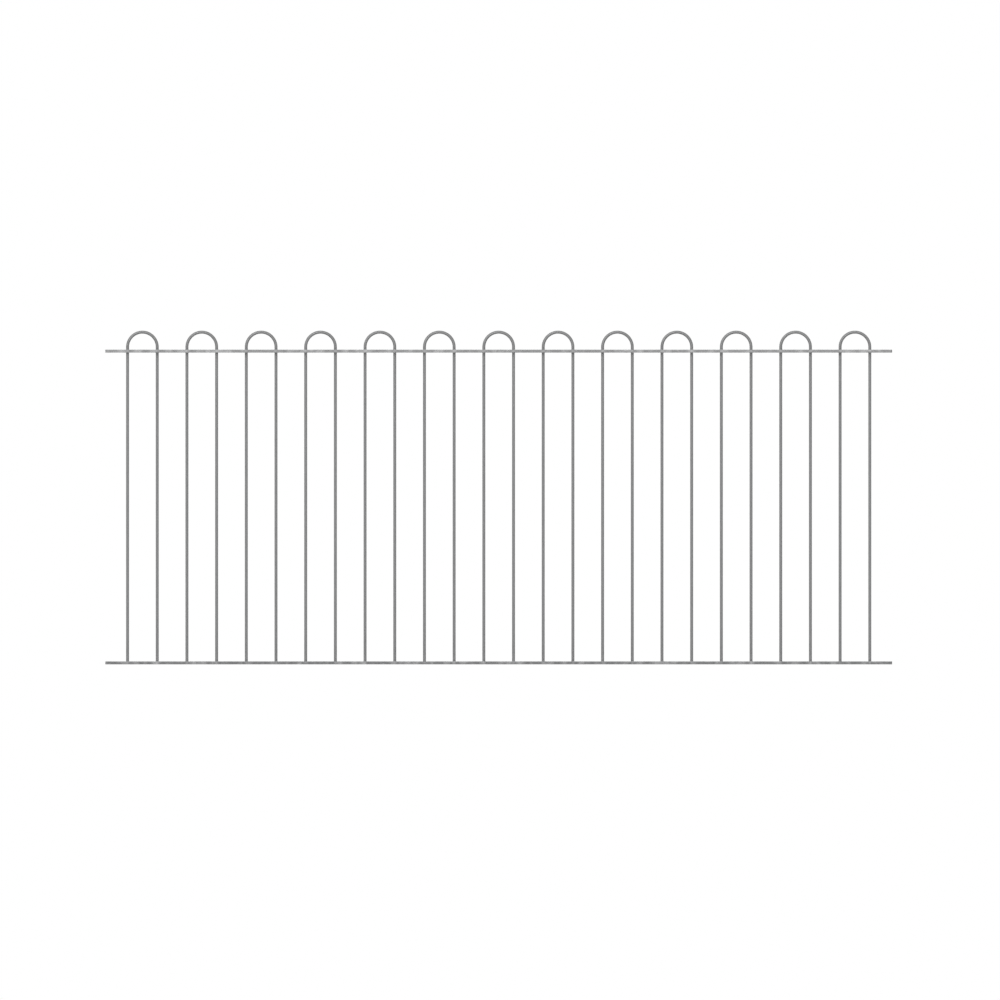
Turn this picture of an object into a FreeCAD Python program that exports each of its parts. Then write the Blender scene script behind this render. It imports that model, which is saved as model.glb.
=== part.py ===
import FreeCAD, Part
import math
import os

import Sketcher

# Bow top fence panel of hot-dip galvanised steel. Thirteen hairpin bows of round bar stand in two
# flat bar rails that lie flat. Each leg passes down through a punched hole in the top rail and ends
# inside a hole in the bottom rail. A tack weld behind the leg, where the front doesn't show it,
# holds it to each rail. A slot at each end of a rail takes the bolt of a post's cleat.
#
# Millimetres. X runs along the panel, Y from front to back, Z up. The origin is the middle of the
# bottom rail's underside, the face that rests on the cleats.

doc = FreeCAD.newDocument("bow_top_panel")

DRIVING_SIZES = [
    ("bow_count", 13, "bows along the panel"),
    ("bar_diameter", 10, "round bar of the bows"),
    ("bow_width", 100, "between the two legs of one bow, centre to centre"),
    ("bow_gap", 100, "between the nearest legs of two bows, centre to centre"),
    ("leg_above_rail", 9, "straight leg from the top rail up to the bend"),
    ("rail_centres", 1050, "from the bottom rail up to the top rail"),
    ("rail_width", 40, "flat bar, front to back"),
    ("rail_thickness", 10, "flat bar, seen as the rail's height"),
    ("rail_edge_radius", 1, "rolled edge of the flat bar"),
    ("rail_overhang", 75, "from the last leg's centre to the rail's end"),
    ("hole_clearance", 0.25, "gap round a leg in its punched hole"),
    ("slot_length", 30, "fixing slot, end to end"),
    ("slot_width", 13, "fixing slot for a 12 mm bolt"),
    ("slot_inset", 30, "from the rail's end to the slot's middle"),
    ("leg_end_recess", 1, "from the bottom rail's underside up to a leg's end"),
    ("tack_size", 3, "tack weld, out from the leg and up from the rail"),
    ("tack_width", 6, "tack weld, along the rail"),
]

sizes = doc.addObject("Spreadsheet::Sheet", "sizes")
for row, (alias, number, meaning) in enumerate(DRIVING_SIZES, start=1):
    sizes.set(f"A{row}", alias)
    sizes.set(f"B{row}", str(number))
    sizes.set(f"C{row}", meaning)
    sizes.setAlias(f"B{row}", alias)
doc.recompute()

BOW_SPACING = "(sizes.bow_width + sizes.bow_gap)"
FIRST_BOW_BACK = f"((sizes.bow_count - 1) / 2 * {BOW_SPACING})"
FIRST_LEG_BACK = f"({FIRST_BOW_BACK} + sizes.bow_width / 2)"
RAIL_LENGTH = f"(2 * {FIRST_LEG_BACK} + 2 * sizes.rail_overhang)"
TOP_RAIL_UPPER_FACE = "(sizes.rail_centres + sizes.rail_thickness)"

# The flat sides that stand in for the round of a bar and of its hole. A multiple of four puts one
# side to the front, one to the back and one to each end of the panel, at the true diameter.
ROUND_SIDES = 12

# What a sketch calls the start, end and centre of a curve, its own axes and its own origin.
START, END, CENTRE = range(1, 4)
HORIZONTAL_AXIS, VERTICAL_AXIS = range(-1, -3, -1)
ORIGIN = (HORIZONTAL_AXIS, START)


def present_value(expression):
    return float(sizes.evalExpression(expression))


def new_body(label):
    body = doc.addObject("PartDesign::Body", label)
    body.Label = label
    return body


def origin_feature(body, role):
    return next(item for item in body.Origin.OriginFeatures if item.Role == role)


def new_sketch(body, name, plane):
    sketch = body.newObject("Sketcher::SketchObject", name)
    sketch.AttachmentSupport = [(origin_feature(body, plane), "")]
    sketch.MapMode = "FlatFace"
    return sketch


def add_line(sketch, start, end):
    line = Part.LineSegment(FreeCAD.Vector(*start, 0), FreeCAD.Vector(*end, 0))
    return sketch.addGeometry(line, False)


def circle_at(centre, radius):
    return Part.Circle(FreeCAD.Vector(*centre, 0), FreeCAD.Vector(0, 0, 1), radius)


def add_arc(sketch, centre, radius, first_degree, last_degree):
    first, last = math.radians(first_degree), math.radians(last_degree)
    return sketch.addGeometry(Part.ArcOfCircle(circle_at(centre, radius), first, last), False)


def constrain(sketch, kind, *references):
    sketch.addConstraint(Sketcher.Constraint(kind, *references))


def dimension(sketch, name, kind, references, expression):
    """A named dimension that follows the sheet."""
    constraint = Sketcher.Constraint(kind, *references, present_value(expression))
    sketch.renameConstraint(sketch.addConstraint(constraint), name)
    sketch.setExpression(f"Constraints.{name}", expression)


def add_closed_outline(sketch, corners):
    """Straight sides from corner to corner, the last one back to the first corner."""
    sides = [add_line(sketch, *ends) for ends in zip(corners, corners[1:] + corners[:1])]
    for side, following in zip(sides, sides[1:] + sides[:1]):
        constrain(sketch, "Coincident", side, END, following, START)
    return sides


def add_rectangle(sketch, length, width):
    """A rectangle about the sketch's origin."""
    right, upper = present_value(length) / 2, present_value(width) / 2
    corners = [(-right, -upper), (right, -upper), (right, upper), (-right, upper)]
    bottom, end, top, start = add_closed_outline(sketch, corners)
    constrain(sketch, "Horizontal", bottom)
    constrain(sketch, "Horizontal", top)
    constrain(sketch, "Vertical", end)
    constrain(sketch, "Vertical", start)
    constrain(sketch, "Symmetric", bottom, START, top, START, *ORIGIN)
    dimension(sketch, "length", "DistanceX", (bottom, START, bottom, END), length)
    dimension(sketch, "width", "DistanceY", (end, START, end, END), width)


def add_round(sketch, name, diameter, back="0 mm"):
    """A bar's outline on the sketch's horizontal axis, a distance back from the origin."""
    across_corners = f"({diameter}) / cos(180 deg / {ROUND_SIDES})"
    centre = (-present_value(back), 0)
    radius = present_value(across_corners) / 2
    corner_angles = [math.pi * (2 * number - 1) / ROUND_SIDES for number in range(ROUND_SIDES)]
    corners = [
        (centre[0] + radius * math.cos(angle), radius * math.sin(angle)) for angle in corner_angles
    ]
    sides = add_closed_outline(sketch, corners)
    circle = sketch.addGeometry(circle_at(centre, radius), True)
    for side in sides:
        constrain(sketch, "PointOnObject", side, START, circle)
    for side in sides[1:]:
        constrain(sketch, "Equal", sides[0], side)
    constrain(sketch, "Vertical", sides[0])
    constrain(sketch, "PointOnObject", circle, CENTRE, HORIZONTAL_AXIS)
    dimension(sketch, f"{name}_across_corners", "Diameter", (circle,), across_corners)
    dimension(sketch, f"{name}_back", "DistanceX", (circle, CENTRE, *ORIGIN), back)


def add_slot(sketch, length, width, middle):
    """A slot along the sketch's horizontal axis: two round ends joined by straight sides."""
    radius = present_value(width) / 2
    half_straight = present_value(length) / 2 - radius
    near_centre = present_value(middle) - half_straight
    far_centre = present_value(middle) + half_straight
    far = add_arc(sketch, (far_centre, 0), radius, -90, 90)
    upper = add_line(sketch, (far_centre, radius), (near_centre, radius))
    near = add_arc(sketch, (near_centre, 0), radius, 90, 270)
    lower = add_line(sketch, (near_centre, -radius), (far_centre, -radius))
    for side, following in ((far, upper), (upper, near), (near, lower), (lower, far)):
        constrain(sketch, "Tangent", side, END, following, START)
    constrain(sketch, "Equal", far, near)
    constrain(sketch, "PointOnObject", far, CENTRE, HORIZONTAL_AXIS)
    constrain(sketch, "PointOnObject", near, CENTRE, HORIZONTAL_AXIS)
    straight = f"{length} - {width}"
    dimension(sketch, "radius", "Radius", (far,), f"{width} / 2")
    dimension(sketch, "straight", "DistanceX", (near, CENTRE, far, CENTRE), straight)
    place = f"{middle} - ({straight}) / 2"
    dimension(sketch, "near_end", "DistanceX", (*ORIGIN, near, CENTRE), place)


def pattern_step(body, name, spacing, count):
    """Equal steps along the panel, for a pattern to use."""
    step = body.newObject("PartDesign::LinearPattern", name)
    step.Direction = (origin_feature(body, "X_Axis"), [""])
    step.Mode = "Spacing"
    step.setExpression("Offset", spacing)
    step.setExpression("Occurrences", count)
    return step


def cut_up_through(body, outline, name):
    """Cuts an outline drawn on a piece's underside up through the piece."""
    volume_before = body.Shape.Volume
    pocket = body.newObject("PartDesign::Pocket", name)
    pocket.Profile = outline
    pocket.Type = "ThroughAll"
    pocket.Reversed = True
    doc.recompute()
    if not pocket.Shape.Volume < volume_before:
        raise ValueError(f"{name} cuts nothing")
    return pocket


def make_rail(label):
    """Flat bar with rolled edges, two punched holes for each bow and a slot at each end."""
    body = new_body(label)
    outline = new_sketch(body, f"{label}_outline", "XY_Plane")
    add_rectangle(outline, RAIL_LENGTH, "sizes.rail_width")
    bar = body.newObject("PartDesign::Pad", f"{label}_bar")
    bar.Profile = outline
    bar.setExpression("Length", "sizes.rail_thickness")
    doc.recompute()

    edges_along = [
        f"Edge{number}"
        for number, edge in enumerate(bar.Shape.Edges, start=1)
        if edge.BoundBox.XLength > bar.Shape.BoundBox.XLength / 2
    ]
    rolled = body.newObject("PartDesign::Fillet", f"{label}_rolled_edges")
    rolled.Base = (bar, edges_along)
    rolled.setExpression("Radius", "sizes.rail_edge_radius")
    doc.recompute()

    pair = new_sketch(body, f"{label}_hole_pair", "XY_Plane")
    hole_diameter = "sizes.bar_diameter + 2 * sizes.hole_clearance"
    add_round(pair, "first_hole", hole_diameter, FIRST_LEG_BACK)
    add_round(pair, "second_hole", hole_diameter, f"{FIRST_LEG_BACK} - sizes.bow_width")
    first_bow_holes = cut_up_through(body, pair, f"{label}_first_bow_holes")
    holes = pattern_step(body, f"{label}_punched_holes", BOW_SPACING, "sizes.bow_count")
    holes.Originals = [first_bow_holes]
    body.Tip = holes
    doc.recompute()

    slot_outline = new_sketch(body, f"{label}_slot_outline", "XY_Plane")
    slot_middle = f"({RAIL_LENGTH} / 2 - sizes.slot_inset)"
    add_slot(slot_outline, "sizes.slot_length", "sizes.slot_width", slot_middle)
    right_slot = cut_up_through(body, slot_outline, f"{label}_right_slot")
    slots = body.newObject("PartDesign::Mirrored", f"{label}_slots")
    slots.Originals = [right_slot]
    slots.MirrorPlane = (origin_feature(body, "YZ_Plane"), [""])
    body.Tip = slots
    doc.recompute()
    return body


def make_bow(number):
    """A hairpin of round bar: a leg up, a half circle over and a leg down."""
    body = new_body(f"bow_{number:02d}")
    path = new_sketch(body, f"{body.Label}_path", "XZ_Plane")
    straight_leg = f"{TOP_RAIL_UPPER_FACE} + sizes.leg_above_rail - sizes.leg_end_recess"
    radius, springing = present_value("sizes.bow_width / 2"), present_value(straight_leg)
    left = add_line(path, (-radius, 0), (-radius, springing))
    bend = add_arc(path, (0, springing), radius, 0, 180)
    right = add_line(path, (radius, springing), (radius, 0))
    constrain(path, "Tangent", left, END, bend, END)
    constrain(path, "Tangent", bend, START, right, START)
    constrain(path, "Vertical", left)
    constrain(path, "Vertical", right)
    constrain(path, "PointOnObject", bend, CENTRE, VERTICAL_AXIS)
    constrain(path, "PointOnObject", left, START, HORIZONTAL_AXIS)
    constrain(path, "PointOnObject", right, END, HORIZONTAL_AXIS)
    dimension(path, "bend_radius", "Radius", (bend,), "sizes.bow_width / 2")
    dimension(path, "straight_leg", "DistanceY", (left, START, left, END), straight_leg)

    section = new_sketch(body, f"{body.Label}_section", "XY_Plane")
    add_round(section, "bar", "sizes.bar_diameter", "sizes.bow_width / 2")
    bent_bar = body.newObject("PartDesign::AdditivePipe", f"{body.Label}_bent_bar")
    bent_bar.Profile = section
    bent_bar.Spine = (path, ["Edge1", "Edge2", "Edge3"])
    body.setExpression("Placement.Base.x", f"{number - 1} * {BOW_SPACING} - {FIRST_BOW_BACK}")
    body.setExpression("Placement.Base.z", "sizes.leg_end_recess")
    return body


def make_rail_welds(label, rail_face):
    """Fillet tacks on a rail's upper face, one in the corner behind each leg."""
    body = new_body(label)
    leg_surface = "sizes.bar_diameter / 2"
    toe = f"{leg_surface} + sizes.tack_size"
    bead = new_sketch(body, f"{label}_bead", "YZ_Plane")
    crest_back, toe_back, height = map(present_value, (leg_surface, toe, "sizes.tack_size"))
    corners = [(0, 0), (toe_back, 0), (crest_back, height), (0, height)]
    on_rail, face, crest, in_leg = add_closed_outline(bead, corners)
    constrain(bead, "Coincident", on_rail, START, *ORIGIN)
    constrain(bead, "Horizontal", on_rail)
    constrain(bead, "Horizontal", crest)
    constrain(bead, "Vertical", in_leg)
    dimension(bead, "toe_back", "DistanceX", (*ORIGIN, face, START), toe)
    dimension(bead, "crest_back", "DistanceX", (*ORIGIN, face, END), leg_surface)
    dimension(bead, "height", "DistanceY", (*ORIGIN, face, END), "sizes.tack_size")

    tack = body.newObject("PartDesign::Pad", f"{label}_tack")
    tack.Profile = bead
    tack.SideType = "Symmetric"
    tack.setExpression("Length", "sizes.tack_width")
    doc.recompute()

    leg_outline = new_sketch(body, f"{label}_leg_outline", "XY_Plane")
    add_round(leg_outline, "leg", "sizes.bar_diameter")
    leg_room = cut_up_through(body, leg_outline, f"{label}_leg_room")

    tacks = body.newObject("PartDesign::MultiTransform", f"{label}_tacks")
    tacks.Originals = [tack, leg_room]
    second_leg = pattern_step(body, f"{label}_second_leg", "sizes.bow_width", "2")
    next_bows = pattern_step(body, f"{label}_next_bows", BOW_SPACING, "sizes.bow_count")
    tacks.Transformations = [second_leg, next_bows]
    body.Tip = tacks
    body.setExpression("Placement.Base.x", f"-{FIRST_LEG_BACK}")
    body.setExpression("Placement.Base.z", rail_face)
    return body


bottom_rail = make_rail("bottom_rail")
top_rail = make_rail("top_rail")
top_rail.setExpression("Placement.Base.z", "sizes.rail_centres")
bows = [make_bow(number) for number in range(1, int(sizes.bow_count) + 1)]
bottom_welds = make_rail_welds("bottom_rail_welds", "sizes.rail_thickness")
top_welds = make_rail_welds("top_rail_welds", TOP_RAIL_UPPER_FACE)
pieces = [bottom_rail, top_rail, *bows, bottom_welds, top_welds]
doc.recompute()

for item in doc.Objects:
    if "Invalid" in item.State or "Error" in item.State:
        raise ValueError(f"{item.Label} did not compute: {item.State}")
for piece in pieces:
    if piece.Shape.isNull() or not piece.Shape.isValid():
        raise ValueError(f"{piece.Label} has no valid shape")

os.makedirs("parts", exist_ok=True)
for piece in pieces:
    piece.Shape.exportStep(os.path.join("parts", f"{piece.Label}.step"))
    print(piece.Label, len(piece.Shape.Solids), "solids", round(piece.Shape.Volume, 1))
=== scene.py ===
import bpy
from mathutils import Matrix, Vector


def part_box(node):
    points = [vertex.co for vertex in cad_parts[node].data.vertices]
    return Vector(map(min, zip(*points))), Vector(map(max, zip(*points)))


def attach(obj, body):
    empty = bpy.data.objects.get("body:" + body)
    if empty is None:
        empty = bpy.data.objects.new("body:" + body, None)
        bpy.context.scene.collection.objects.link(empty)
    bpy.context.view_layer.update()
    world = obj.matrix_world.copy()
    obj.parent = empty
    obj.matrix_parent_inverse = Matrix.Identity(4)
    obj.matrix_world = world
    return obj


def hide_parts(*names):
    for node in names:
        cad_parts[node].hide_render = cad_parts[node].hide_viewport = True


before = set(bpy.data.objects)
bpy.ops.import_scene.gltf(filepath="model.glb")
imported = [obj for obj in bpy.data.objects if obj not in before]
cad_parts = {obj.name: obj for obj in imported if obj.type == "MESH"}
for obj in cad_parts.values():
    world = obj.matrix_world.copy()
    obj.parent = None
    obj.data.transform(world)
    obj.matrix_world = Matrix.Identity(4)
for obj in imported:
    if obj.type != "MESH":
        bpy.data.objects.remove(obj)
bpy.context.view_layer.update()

import math
import random

import bmesh
import bpy
from mathutils import Matrix, Vector

# A bow top fence panel of steel bar, welded up first and then dipped whole in molten zinc, so that
# every piece wears the same grey coat. Sizes are in metres, in the frame of the imported model.


# The rails: two lengths of 40 x 10 mm hot rolled flat bar, laid flat, with a punched hole for each
# leg and a slot near each end for a bolt. Their shape is the imported model's. The zinc has set on
# them in soft pale clouds on a darker grey. A painted highlight runs along their upper arrises and
# painted shade along their lower arrises, and the bottom rail carries painted shade all over.
ZINC_METALLIC = 0.6
ZINC_RELIEF = 0.00015
FLAT_BAR_DARK = (0.151, 0.153, 0.155)
FLAT_BAR_PALE = (0.605, 0.607, 0.610)
# How much painted shade darkens each rail's zinc: the bottom rail is painted darker, as if in shade.
RAIL_PAINTED_SHADE = {"bottom_rail": 0.20, "top_rail": 0.0}
CLOUD_SIZE = 0.026
CLOUD_FADE = (0.42, 0.74)
MOTTLE_SIZE = 0.009
GRIT_SIZE = 0.0007
PIMPLE_SIZE = 0.003
PIMPLE_FADE = (0.66, 0.95)
SPANGLE_SIZE = 0.006
SPANGLE_WANDER = 0.5
SEAM_WIDTH = 0.06
PAINTED_HIGHLIGHT_ARRIS = 0.0013
PAINTED_SHADE_ARRIS = 0.0026
DRAINED_END = 0.005
SAWN_DEPTH = 0.0004
CROSSING_REACH = 0.008
STAIN_AND_SHADE_REACH = 0.004
LEG_PITCH = (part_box("bow_02")[0].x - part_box("bow_01")[0].x) / 2
BAR_RADIUS = (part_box("bow_01")[1].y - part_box("bow_01")[0].y) / 2


class Shade:
    """What a node's socket gives, mostly a number that changes over a surface. Python's operators
    on such numbers add the Math nodes."""

    def __init__(self, finish, socket):
        self.finish = finish
        self.socket = socket

    def __add__(self, other):
        return self.finish.math("ADD", self, other)

    __radd__ = __add__

    def __sub__(self, other):
        return self.finish.math("SUBTRACT", self, other)

    def __rsub__(self, other):
        return self.finish.math("SUBTRACT", other, self)

    def __mul__(self, other):
        return self.finish.math("MULTIPLY", self, other)

    __rmul__ = __mul__

    def __abs__(self):
        return self.finish.math("ABSOLUTE", self)


class Finish:
    """The nodes of one finish."""

    def __init__(self, tree):
        self.tree = tree
        tree.nodes.clear()

    def node(self, kind, settings, inputs, output=0):
        """Adds one node: its settings first, then the values or links of its sockets."""
        made = self.tree.nodes.new(kind)
        for name, value in settings.items():
            setattr(made, name, value)
        for name, value in inputs.items():
            if isinstance(value, Shade):
                self.tree.links.new(value.socket, made.inputs[name])
            else:
                made.inputs[name].default_value = value
        return Shade(self, made.outputs[output]) if made.outputs else None

    def math(self, operation, *values):
        return self.node("ShaderNodeMath", {"operation": operation}, dict(enumerate(values)))

    def place(self):
        return self.node("ShaderNodeTexCoord", {}, {}, "Object")

    def along(self, axis):
        return self.node("ShaderNodeSeparateXYZ", {}, {0: self.place()}, axis)

    def rise(self, shade, start, end):
        """Smoothly from 0 where the shade is start to 1 where it is end."""
        inputs = {"Value": shade, "From Min": start, "From Max": end}
        return self.node("ShaderNodeMapRange", {"interpolation_type": "SMOOTHSTEP"}, inputs)

    def cloud(self, size, detail=2.0, stretch=(1, 1, 1)):
        """Soft noise from 0 to 1, mostly between 0.3 and 0.7, whose clouds have about this size."""
        place = self.node("ShaderNodeMapping", {}, {"Vector": self.place(), "Scale": stretch})
        inputs = {"Vector": place, "Scale": 1 / size, "Detail": detail}
        return self.node("ShaderNodeTexNoise", {}, inputs)

    def spangle(self, size):
        """Zinc crystals of about this size: their tone and gleam from 0 to 1, and their seams."""
        wander = SPANGLE_WANDER * size
        inputs = {"Vector": self.place(), "Scale": 1 / wander, "Detail": 1.0}
        push = self.node("ShaderNodeTexNoise", {}, inputs, "Color")
        inputs = {0: push, 1: [wander] * 3, 2: self.place()}
        ragged = self.node("ShaderNodeVectorMath", {"operation": "MULTIPLY_ADD"}, inputs)
        inputs = {"Vector": ragged, "Scale": 1 / size}
        crystal = self.node("ShaderNodeTexVoronoi", {}, inputs, "Color")
        edges = {"feature": "DISTANCE_TO_EDGE"}
        to_seam = self.node("ShaderNodeTexVoronoi", edges, inputs, "Distance")
        tone = self.node("ShaderNodeSeparateColor", {}, {0: crystal}, "Red")
        gleam = self.node("ShaderNodeSeparateColor", {}, {0: crystal}, "Green")
        return tone, gleam, 1 - self.rise(to_seam, 0.0, SEAM_WIDTH)

    def blended(self, share, first, second):
        """The colour that lies this share of the way from the first to the second."""
        # Several of a Mix node's sockets have one name, so its factor and colours go by number.
        inputs = {0: share, 6: (*first, 1.0), 7: (*second, 1.0)}
        return self.node("ShaderNodeMix", {"data_type": "RGBA"}, inputs, 2)


def zinc_coat(name, pattern, darkest, palest):
    """A zinc finish. Its pattern gives the shade, from darkest to palest, roughness and relief."""
    material = bpy.data.materials.new(name)
    material.use_nodes = True
    zinc = Finish(material.node_tree)
    shade, roughness, relief = pattern(zinc)
    coat = {
        "Base Color": zinc.blended(shade, darkest, palest),
        "Metallic": ZINC_METALLIC,
        "Roughness": roughness,
        "Normal": zinc.node("ShaderNodeBump", {}, {"Height": relief, "Distance": ZINC_RELIEF}),
    }
    surface = zinc.node("ShaderNodeBsdfPrincipled", {}, coat)
    zinc.node("ShaderNodeOutputMaterial", {}, {"Surface": surface})
    return material


def rail_pattern(low, high, painted_rail_shade):
    """The zinc on a rail, from the lowest and highest corners of its space."""

    def pattern(zinc):
        clouds = zinc.rise(zinc.cloud(CLOUD_SIZE, detail=0.5), *CLOUD_FADE)
        mottle = zinc.cloud(MOTTLE_SIZE, detail=3.0)
        grit = zinc.cloud(GRIT_SIZE, detail=3.0)
        pimples = zinc.rise(zinc.cloud(PIMPLE_SIZE, detail=0.0), *PIMPLE_FADE)
        tone, gleam, seams = zinc.spangle(SPANGLE_SIZE)

        from_leg = abs(zinc.math("FLOORED_MODULO", zinc.along("X"), LEG_PITCH) - LEG_PITCH / 2)
        depth = abs(zinc.along("Y"))
        side = zinc.rise(depth, high.y - PAINTED_HIGHLIGHT_ARRIS, high.y)
        # Painted highlight along the upper arris, where light from above catches it.
        painted_arris_highlight = side * zinc.rise(zinc.along("Z"), high.z - PAINTED_HIGHLIGHT_ARRIS, high.z)
        # Painted shade along the lower arris, where less light reaches it.
        painted_arris_shade = side * (1 - zinc.rise(zinc.along("Z"), low.z, low.z + PAINTED_SHADE_ARRIS))
        drained_end = zinc.rise(zinc.along("X"), high.x - DRAINED_END, high.x)
        sawn = zinc.rise(abs(zinc.along("X")), high.x - SAWN_DEPTH, high.x)
        crossing = side * (1 - zinc.rise(from_leg, 0.0, CROSSING_REACH))
        from_axis = zinc.math("SQRT", from_leg * from_leg + depth * depth)
        # A darker ring on the rail round each leg: partly zinc stain, partly painted contact shade.
        stain_and_contact_shade = 1 - zinc.rise(from_axis, BAR_RADIUS, BAR_RADIUS + STAIN_AND_SHADE_REACH)

        # Each number is how much of the effect after it goes into the shade, gloss or relief.
        shade = 0.16 + 0.29 * clouds + 0.06 * mottle + 0.12 * tone + 0.08 * grit - 0.04 * seams
        shade = shade + 0.14 * crossing + 0.20 * painted_arris_highlight - 0.12 * painted_arris_shade
        shade = shade - 0.08 * stain_and_contact_shade - 0.06 * sawn - 0.36 * drained_end - painted_rail_shade
        roughness = 0.36 + 0.10 * mottle + 0.12 * gleam + 0.08 * clouds + 0.08 * grit
        relief = 0.6 * mottle + 0.12 * grit + 0.6 * pimples - 0.04 * seams + 0.4 * sawn * grit
        return shade, roughness, relief

    return pattern


for rail, painted_rail_shade in RAIL_PAINTED_SHADE.items():
    rail_zinc = zinc_coat(
        f"{rail}_zinc", rail_pattern(*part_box(rail), painted_rail_shade), FLAT_BAR_DARK, FLAT_BAR_PALE
    )
    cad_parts[rail].data.materials.clear()
    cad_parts[rail].data.materials.append(rail_zinc)


# The bows: thirteen lengths of 10 mm round bar, each bent cold into a hairpin, pushed down through
# the top rail and set in the bottom rail. Smooth drawn bar takes an even, duller coat than the
# rails, with faint runs where the zinc drained down the legs. Painted light makes the legs a little
# paler lower down and paler still at their feet, to even out the shade that falls there.
BAR_SIDES = 32
BEND_STEPS = 60
BEND_ROUNDING = 0.00001
SAWN_EDGE = 0.0008
SMOOTHING_ANGLE = math.radians(45)
ROUND_BAR_DARK = (0.137, 0.138, 0.139)
ROUND_BAR_PALE = (0.386, 0.388, 0.390)
RUN_WIDTH = 0.0025
RUN_STRETCH = (1, 1, 0.05)
PAINTED_LIGHT_FOOT_TOP = 0.040
FINE_MOTTLE_SIZE = 0.003
FINE_SPANGLE_SIZE = 0.0025


def round_bar_pattern(zinc):
    """The zinc on round bar, with painted light that makes it a little paler down the legs and
    palest at their feet.
    """
    runs = zinc.cloud(RUN_WIDTH, stretch=RUN_STRETCH)
    mottle = zinc.cloud(FINE_MOTTLE_SIZE, detail=3.0)
    grit = zinc.cloud(GRIT_SIZE, detail=3.0)
    tone, gleam, seams = zinc.spangle(FINE_SPANGLE_SIZE)
    # Painted light, a little paler down the legs, against the shade that falls lower down.
    painted_light_down_leg = 1 - zinc.rise(zinc.along("Z"), 0.0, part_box("top_rail")[0].z)
    # Painted light at the legs' feet, against the shade cast where they meet the bottom rail.
    painted_light_at_foot = 1 - zinc.rise(zinc.along("Z"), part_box("bottom_rail")[1].z, PAINTED_LIGHT_FOOT_TOP)
    shade = 0.18 + 0.14 * runs + 0.16 * mottle + 0.14 * tone + 0.10 * grit - 0.05 * seams
    shade = shade + 0.05 * painted_light_down_leg + 0.36 * painted_light_at_foot
    roughness = 0.38 + 0.12 * mottle + 0.10 * gleam + 0.08 * grit
    relief = 0.4 * runs + 0.4 * mottle + 0.12 * grit - 0.04 * seams
    return shade, roughness, relief


def extruded(shape, ring, offset):
    """Draws a ring of edges out by an offset, and gives the new ring."""
    made = bmesh.ops.extrude_edge_only(shape, edges=ring)["geom"]
    corners = [item for item in made if isinstance(item, bmesh.types.BMVert)]
    bmesh.ops.translate(shape, verts=corners, vec=offset)
    return [item for item in made if isinstance(item, bmesh.types.BMEdge)]


def bend_hairpin(low, high):
    """One bow, from the lowest and highest corners of its space, a hair under its top."""
    bend_radius = (high.x - low.x) / 2 - BAR_RADIUS
    springing_z = high.z - BAR_RADIUS - bend_radius - BEND_ROUNDING
    middle = Vector(((low.x + high.x) / 2, 0, springing_z))
    leg = Vector((0, 0, middle.z - low.z))

    shape = bmesh.new()
    foot = Matrix.Translation((low.x + BAR_RADIUS, 0, low.z))
    bmesh.ops.create_circle(shape, segments=BAR_SIDES, radius=BAR_RADIUS, matrix=foot)
    first_cut = list(shape.edges)
    springing = extruded(shape, first_cut, leg)
    bend = bmesh.ops.spin(
        shape, geom=springing, cent=middle, axis=(0, 1, 0), angle=math.pi, steps=BEND_STEPS
    )
    landing = [item for item in bend["geom_last"] if isinstance(item, bmesh.types.BMEdge)]
    last_cut = extruded(shape, landing, -leg)
    bmesh.ops.holes_fill(shape, edges=first_cut + last_cut, sides=BAR_SIDES)
    bmesh.ops.bevel(
        shape,
        geom=first_cut + last_cut,
        offset=SAWN_EDGE,
        segments=2,
        profile=0.5,
        affect="EDGES",
        material=-1,
    )
    return shape


def panel_piece(name, shape, zinc):
    """Makes a finished shape a piece of the panel."""
    bmesh.ops.recalc_face_normals(shape, faces=shape.faces)
    mesh = bpy.data.meshes.new(name)
    shape.to_mesh(mesh)
    shape.free()
    mesh.shade_smooth()
    mesh.set_sharp_from_angle(angle=SMOOTHING_ANGLE)
    mesh.materials.append(zinc)
    piece = bpy.data.objects.new(name, mesh)
    bpy.context.scene.collection.objects.link(piece)
    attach(piece, "root")
    return piece


round_bar_zinc = zinc_coat("round_bar_zinc", round_bar_pattern, ROUND_BAR_DARK, ROUND_BAR_PALE)
bow_nodes = sorted(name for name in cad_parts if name.startswith("bow_"))
for node in bow_nodes:
    hairpin = bend_hairpin(*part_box(node))
    bow = panel_piece(f"{node}_round_bar", hairpin, round_bar_zinc)
    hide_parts(node)


# The tack welds: behind each leg, on both rails, the welder has run one short bead into the corner
# between leg and rail. It is rippled, full in the middle and thin at its ends, and no two are quite
# alike. The zinc lies over it in small uneven pools.
WELD_DARK = (0.160, 0.162, 0.164)
WELD_PALE = (0.400, 0.404, 0.406)
POOL_SIZE = 0.002
POOL_MOTTLE_SIZE = 0.0005
BEAD_SIDES = 10
BEAD_STEPS = 24
BEAD_RADIUS = 0.0018
BEAD_RADIUS_SPREAD = (0.88, 1.08)
BEAD_OUT = 0.0010
BEAD_DEGREES_ROUND = 90
BEAD_DEGREES_SLIP = 8
BEAD_DEGREES_LONG = (70, 90)
BEAD_END = 0.04
BEAD_BLUNTNESS = 0.45
BEAD_RIPPLES = 6
RIPPLE_HEIGHT = 0.08
RIPPLE_UNEVENNESS = 0.02
WELDER_SEED = 26


def weld_pattern(zinc):
    """The zinc on the weld beads."""
    pools = zinc.cloud(POOL_SIZE)
    mottle = zinc.cloud(POOL_MOTTLE_SIZE)
    return 0.2 + 0.5 * pools + 0.1 * mottle, 0.40 + 0.25 * pools, 0.5 * pools + 0.12 * mottle


def leg_axes():
    """The x of every leg's axis, from left to right."""
    for node in bow_nodes:
        low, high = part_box(node)
        yield low.x + BAR_RADIUS
        yield high.x - BAR_RADIUS


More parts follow.
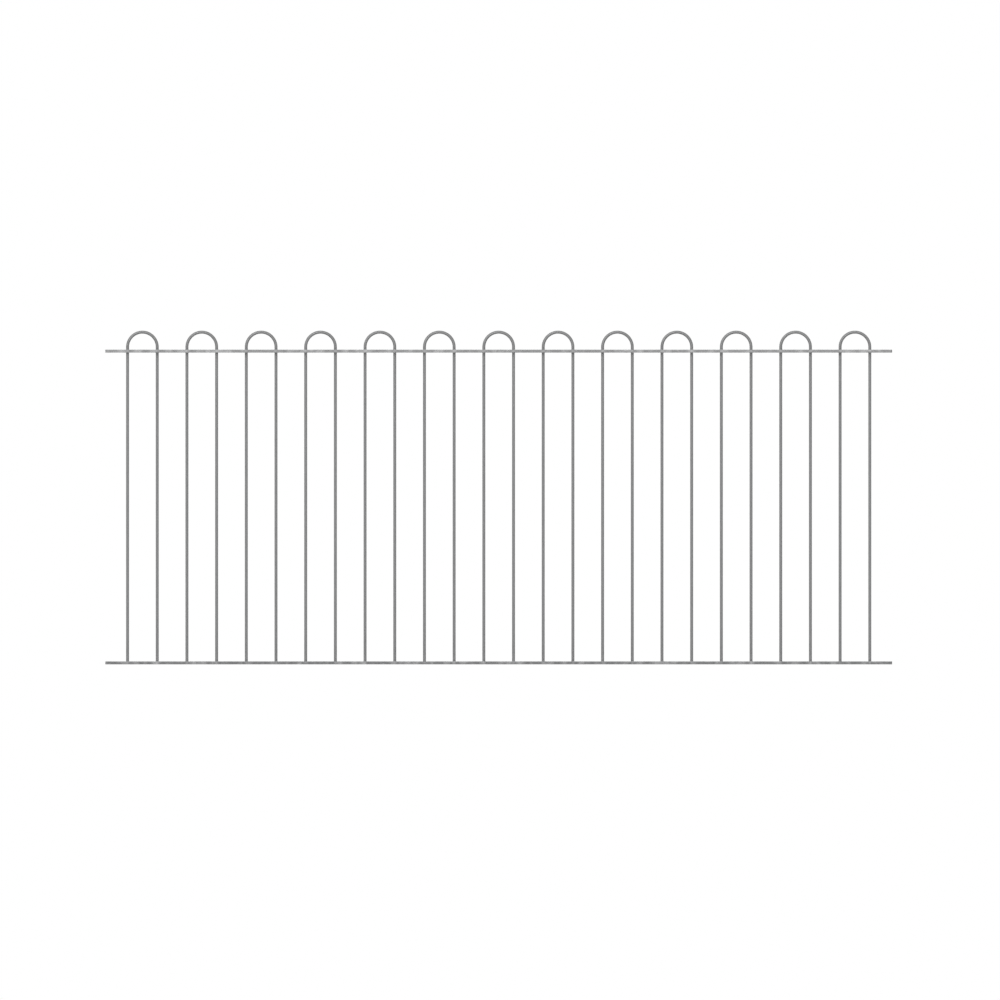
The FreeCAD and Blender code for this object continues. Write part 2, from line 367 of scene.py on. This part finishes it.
def add_bead(shape, foot, chance):
    """One bead behind the leg whose axis meets the rail's face at this foot."""
    size = BEAD_RADIUS * chance.uniform(*BEAD_RADIUS_SPREAD)
    reach = math.radians(chance.uniform(*BEAD_DEGREES_LONG))
    slip = chance.uniform(-BEAD_DEGREES_SLIP, BEAD_DEGREES_SLIP)
    start = math.radians(BEAD_DEGREES_ROUND + slip) - reach / 2
    in_corner = Matrix.Translation((BAR_RADIUS + BEAD_OUT, 0, BEAD_OUT))
    across = Matrix.Rotation(math.pi / 2, 4, "X")
    last_ring = None
    for step in range(BEAD_STEPS + 1):
        share = step / BEAD_STEPS
        swell = BEAD_END + (1 - 2 * BEAD_END) * share
        fullness = math.sin(math.pi * swell) ** BEAD_BLUNTNESS
        wave = RIPPLE_HEIGHT * math.cos(math.tau * BEAD_RIPPLES * share)
        ripple = 1 + wave + chance.uniform(-RIPPLE_UNEVENNESS, RIPPLE_UNEVENNESS)
        round_leg = Matrix.Rotation(start + reach * share, 4, "Z")
        section = bmesh.ops.create_circle(
            shape,
            cap_ends=step in (0, BEAD_STEPS),
            segments=BEAD_SIDES,
            radius=size * fullness * ripple,
            matrix=Matrix.Translation(foot) @ round_leg @ in_corner @ across,
        )
        ring = list({edge for corner in section["verts"] for edge in corner.link_edges})
        if last_ring:
            bmesh.ops.bridge_loops(shape, edges=last_ring + ring)
        last_ring = ring


weld_zinc = zinc_coat("weld_zinc", weld_pattern, WELD_DARK, WELD_PALE)
chance = random.Random(WELDER_SEED)
for rail in ("bottom_rail", "top_rail"):
    beads = bmesh.new()
    for x in leg_axes():
        add_bead(beads, (x, 0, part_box(rail)[1].z), chance)
    weld = panel_piece(f"{rail}_weld_beads", beads, weld_zinc)
    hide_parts(f"{rail}_welds")


# The zinc fillets: molten zinc is drawn into the narrow gap between a leg and its punched hole, and
# sets there as a small hollow fillet round the leg, above and below the top rail and above the
# bottom rail. It wears the same finish as the bar.
FILLET = 0.0009
FILLET_HOLLOW = 0.32 * FILLET
FILLET_LIP = 0.02 * FILLET
FILLET_ROOT = 0.0004
FILLET_STEPS = 24


def add_fillet(shape, foot, side):
    """One fillet round a leg, on the upper face of a rail, or on its lower face where side is -1."""
    profile = (
        (-FILLET_ROOT, -FILLET_ROOT),
        (FILLET, -FILLET_ROOT),
        (FILLET, FILLET_LIP),
        (FILLET_HOLLOW, FILLET_HOLLOW),
        (FILLET_LIP, FILLET),
        (-FILLET_ROOT, FILLET),
    )
    corners = [
        shape.verts.new(Vector(foot) + Vector((BAR_RADIUS + out, 0, side * up)))
        for out, up in profile
    ]
    edges = [shape.edges.new(pair) for pair in zip(corners, corners[1:] + corners[:1])]
    bmesh.ops.spin(
        shape,
        geom=corners + edges,
        cent=foot,
        axis=(0, 0, 1),
        angle=math.tau,
        steps=FILLET_STEPS,
        use_merge=True,
    )


for rail, sides in (("bottom_rail", (1,)), ("top_rail", (1, -1))):
    fillets = bmesh.new()
    for x in leg_axes():
        for side in sides:
            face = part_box(rail)[1].z if side == 1 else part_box(rail)[0].z
            add_fillet(fillets, (x, 0, face), side)
    panel_piece(f"{rail}_zinc_fillets", fillets, round_bar_zinc)


# The studio: a pale floor that the panel stands on, which turns into the white backdrop further
# out, soft light from all round that is a little dimmer from above and below than from the sides,
# and one broad soft lamp far off in front of the panel, to its left and above it.
FLOOR_GAP = 0.0002
FLOOR_RADIUS = 9.0
FLOOR_SIDES = 64
FLOOR_COLOUR = (0.80, 0.80, 0.80, 1.0)
FLOOR_GLOW = 0.38
FLOOR_NEAR = 1.5
FLOOR_FAR = 4.0
WHITE = (1.0, 1.0, 1.0, 1.0)
AMBIENT = 0.55
CEILING_SHADE = 0.2
CEILING_STEEPNESS = (0.1, 0.9)
LAMP_STRENGTH = 1.4
LAMP_WIDTH = math.radians(36)
LAMP_ELEVATION = math.radians(30)
LAMP_TURN = math.radians(-18)


def shown(finish):
    """1 where a ray comes from the camera, a mirror or through glass, and 0 elsewhere."""
    rays = [
        finish.node("ShaderNodeLightPath", {}, {}, f"Is {kind} Ray")
        for kind in ("Camera", "Glossy", "Transmission")
    ]
    return finish.math("MINIMUM", rays[0] + rays[1] + rays[2], 1.0)


floor_shape = bmesh.new()
bmesh.ops.create_circle(
    floor_shape,
    cap_ends=True,
    segments=FLOOR_SIDES,
    radius=FLOOR_RADIUS,
    matrix=Matrix.Translation((0, 0, -FLOOR_GAP)),
)
floor_mesh = bpy.data.meshes.new("floor")
floor_shape.to_mesh(floor_mesh)
floor_shape.free()
floor = bpy.data.objects.new("floor", floor_mesh)
bpy.context.scene.collection.objects.link(floor)

floor_paint = bpy.data.materials.new("floor_paint")
floor_paint.use_nodes = True
paint = Finish(floor_paint.node_tree)
distance = {"operation": "LENGTH"}
from_middle = paint.node("ShaderNodeVectorMath", distance, {0: paint.place()}, "Value")
far = paint.rise(from_middle, FLOOR_NEAR, FLOOR_FAR)
matt = paint.node("ShaderNodeBsdfDiffuse", {}, {"Color": FLOOR_COLOUR})
glow = paint.node("ShaderNodeEmission", {}, {"Color": WHITE, "Strength": FLOOR_GLOW})
glowing = paint.node("ShaderNodeAddShader", {}, {0: matt, 1: glow})
near = paint.node("ShaderNodeMixShader", {}, {0: shown(paint), 1: matt, 2: glowing})
white = paint.node("ShaderNodeEmission", {}, {"Color": WHITE, "Strength": 1.0})
surface = paint.node("ShaderNodeMixShader", {}, {0: far * shown(paint), 1: near, 2: white})
paint.node("ShaderNodeOutputMaterial", {}, {"Surface": surface})
floor_mesh.materials.append(floor_paint)

studio = bpy.data.worlds.new("studio")
studio.use_nodes = True
bpy.context.scene.world = studio
air = Finish(studio.node_tree)
camera_ray = air.node("ShaderNodeLightPath", {}, {}, "Is Camera Ray")
direction = air.node("ShaderNodeTexCoord", {}, {}, "Generated")
steepness = abs(air.node("ShaderNodeSeparateXYZ", {}, {0: direction}, "Z"))
ceiling = (1 - camera_ray) * air.rise(steepness, *CEILING_STEEPNESS)
level = AMBIENT + (1 - AMBIENT) * shown(air)
level = level * (1 - CEILING_SHADE * ceiling)
backdrop = air.node("ShaderNodeBackground", {}, {"Color": WHITE, "Strength": level})
air.node("ShaderNodeOutputWorld", {}, {"Surface": backdrop})

towards_lamp = Vector(
    (
        math.sin(LAMP_TURN) * math.cos(LAMP_ELEVATION),
        -math.cos(LAMP_TURN) * math.cos(LAMP_ELEVATION),
        math.sin(LAMP_ELEVATION),
    )
)
lamp_light = bpy.data.lights.new("soft_lamp", "SUN")
lamp_light.energy = LAMP_STRENGTH
lamp_light.angle = LAMP_WIDTH
lamp = bpy.data.objects.new("soft_lamp", lamp_light)
lamp.rotation_euler = (-towards_lamp).to_track_quat("-Z", "Y").to_euler()
bpy.context.scene.collection.objects.link(lamp)


# The camera: level, square on to the panel's front, and with no perspective, as the photograph is
# taken. The places of three things in the photograph, in its pixels, set how wide and where it
# looks: the leg pitch, the first leg and the top of the bows.
PHOTO_PIXELS = 1000
LEG_PITCH_PIXELS = 29.69
FIRST_LEG_PIXELS = 127.56
PANEL_TOP_PIXELS = 330.67
CAMERA_DISTANCE = 6.0

metres_per_pixel = LEG_PITCH / LEG_PITCH_PIXELS
first_leg_x = next(leg_axes())
panel_top_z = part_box("bow_01")[1].z
lens = bpy.data.cameras.new("camera")
lens.type = "ORTHO"
lens.ortho_scale = PHOTO_PIXELS * metres_per_pixel
camera = bpy.data.objects.new("camera", lens)
camera.location = (
    first_leg_x + (PHOTO_PIXELS / 2 - FIRST_LEG_PIXELS) * metres_per_pixel,
    -CAMERA_DISTANCE,
    panel_top_z - (PHOTO_PIXELS / 2 - PANEL_TOP_PIXELS) * metres_per_pixel,
)
camera.rotation_euler = (math.pi / 2, 0, 0)
bpy.context.scene.collection.objects.link(camera)
bpy.context.scene.camera = camera
bpy.context.scene.view_settings.view_transform = "Standard"
